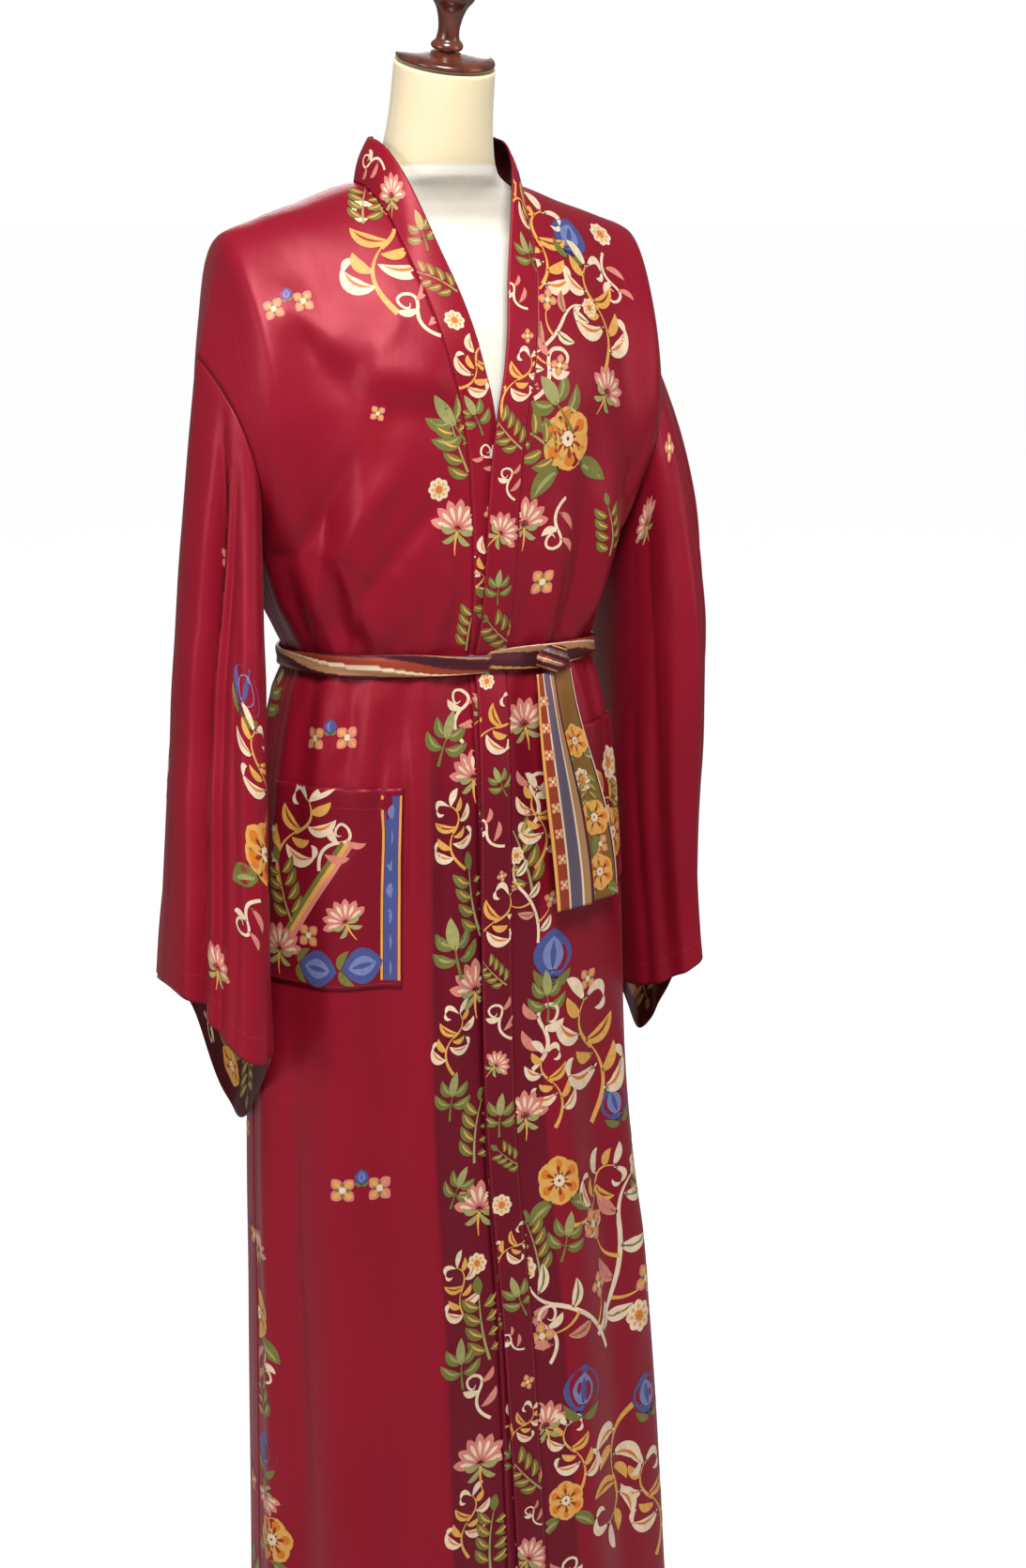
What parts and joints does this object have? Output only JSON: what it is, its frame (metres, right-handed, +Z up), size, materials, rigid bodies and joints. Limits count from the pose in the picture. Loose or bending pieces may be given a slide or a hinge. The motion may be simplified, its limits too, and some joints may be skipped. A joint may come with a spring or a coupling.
{
  "type": "kimono robe on dress form",
  "caption": "Long crimson silk kimono robe with printed borders, open sleeves, pockets and a tied belt, on a cloth dress form with a turned wooden stand.",
  "frame": {"origin": "centre of the underside of the round wooden foot", "axes": "+Z up the stand, -Y to the robe's front, +X to the wearer's left"},
  "size_m": [0.5485, 0.35, 1.6195],
  "materials": {
    "silk": "satin",
    "belt_silk": "satin",
    "dark_wood": "gloss",
    "form_linen": "matte"
  },
  "bodies": {
    "root": {"back": "silk", "front_right": "silk", "front_left": "silk", "neckband_right": "silk", "neckband_left": "silk", "sleeve_right": "silk", "sleeve_left": "silk", "pocket_right": "silk", "pocket_left": "silk", "belt": "belt_silk", "belt_knot": "belt_silk", "belt_tail_inner": "belt_silk", "belt_tail_outer": "belt_silk", "neck_cap": "dark_wood", "finial": "dark_wood", "stand_pole": "dark_wood", "stand_base": "dark_wood", "form_torso": "form_linen"}
  },
  "joints": []
}
